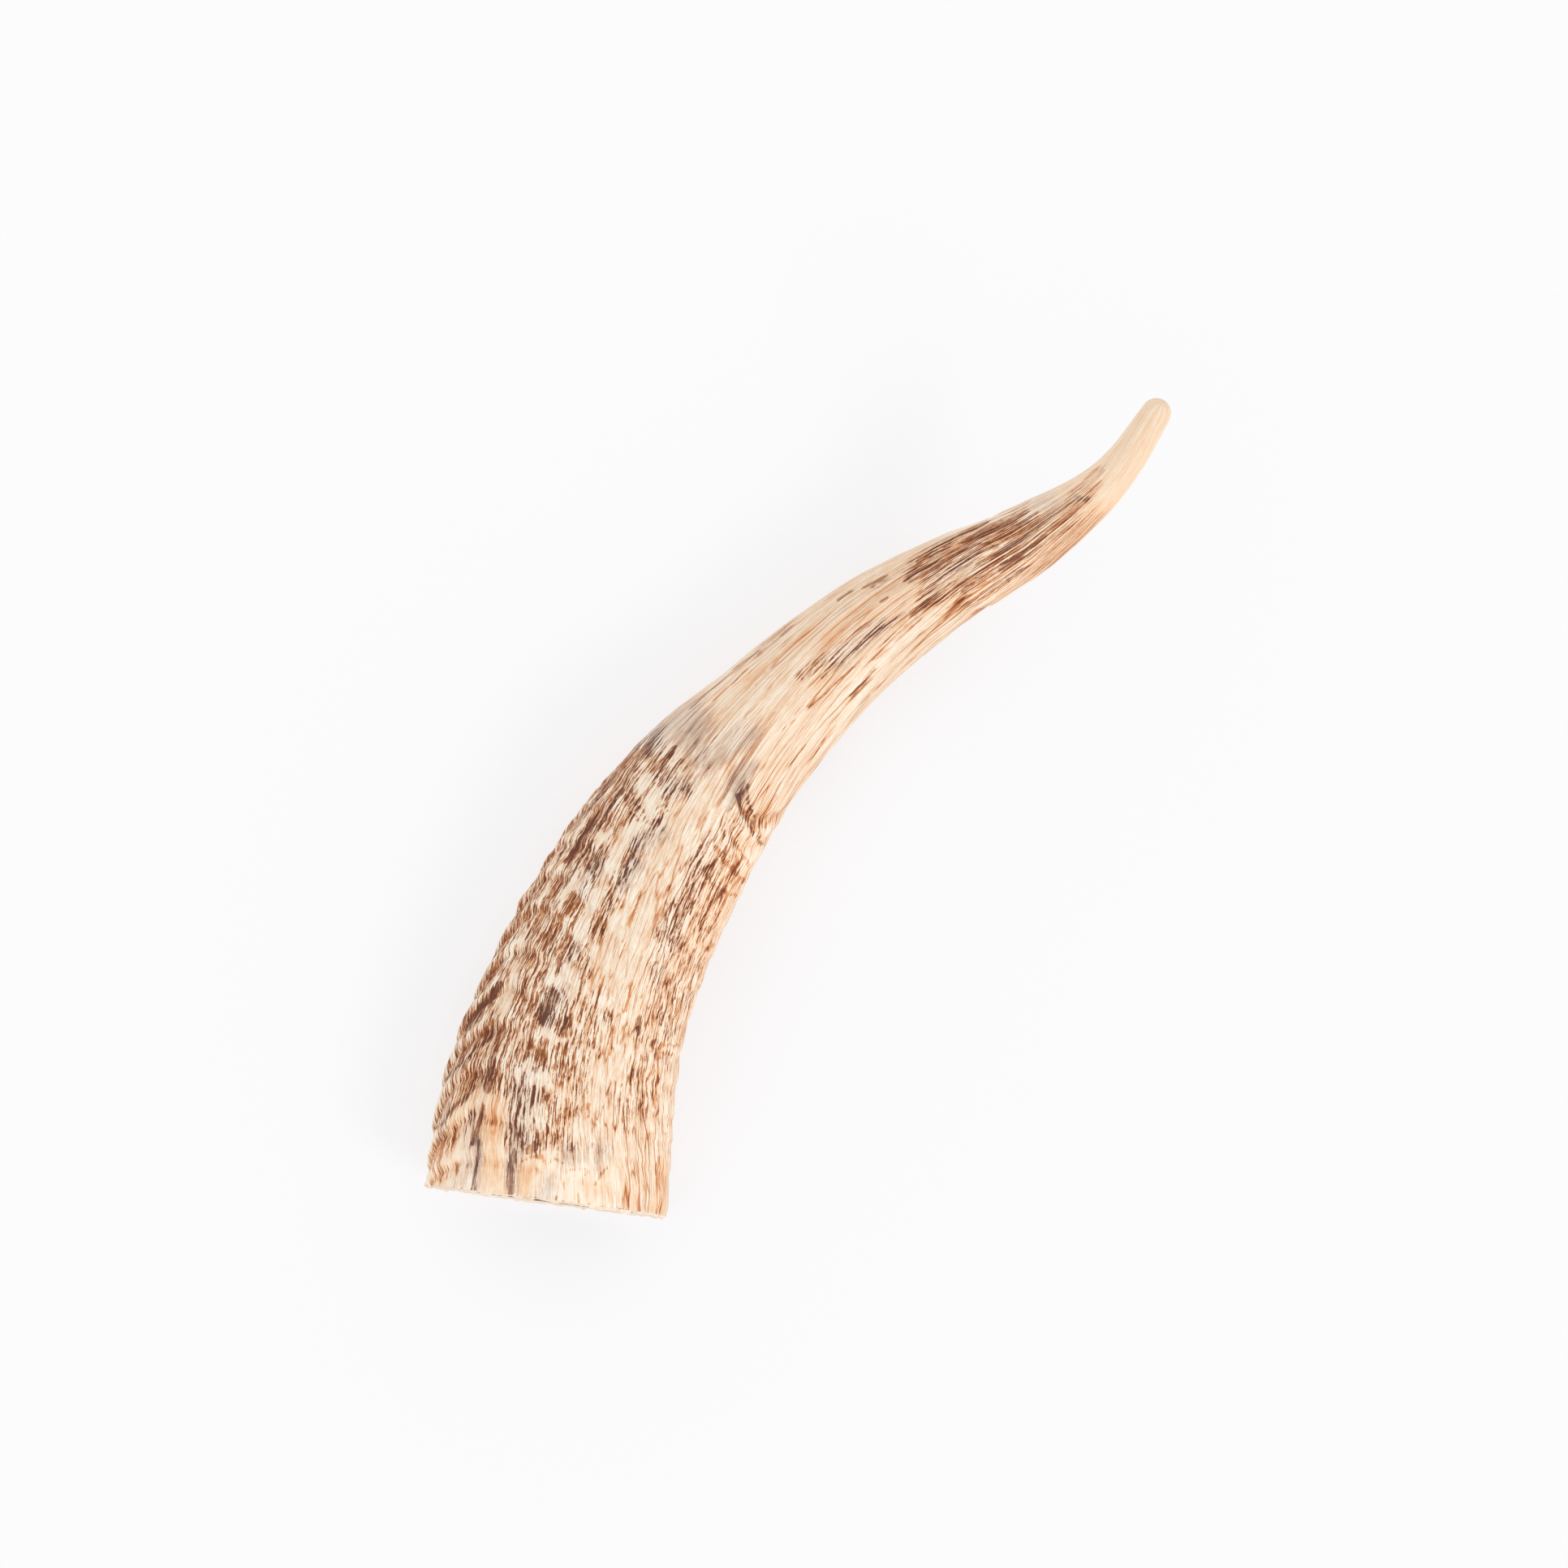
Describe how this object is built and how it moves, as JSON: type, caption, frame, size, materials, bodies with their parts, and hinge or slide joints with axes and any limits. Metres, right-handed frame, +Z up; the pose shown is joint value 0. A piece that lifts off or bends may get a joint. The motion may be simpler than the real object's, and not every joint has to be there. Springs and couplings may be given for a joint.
{
  "type": "goat horn",
  "caption": "Hollow horn sheath of a goat, sawn off square at the base, with low growth rings on the keel side, a slight twist and a slim tip that bends back and up.",
  "frame": {"origin": "centre of the footprint's bounding box, on the surface the horn lies on", "axes": "+Z up, +Y from the sawn end into the horn, which is its longest extent, +X to the side the horn curves to"},
  "size_m": [0.1295, 0.1781, 0.0516],
  "materials": {
    "horn": "dry, faintly satin, fibrous horn: cream and orange-tan with brown and grey streaks along the fibres"
  },
  "bodies": {
    "root": {"horn": "horn"}
  },
  "joints": []
}
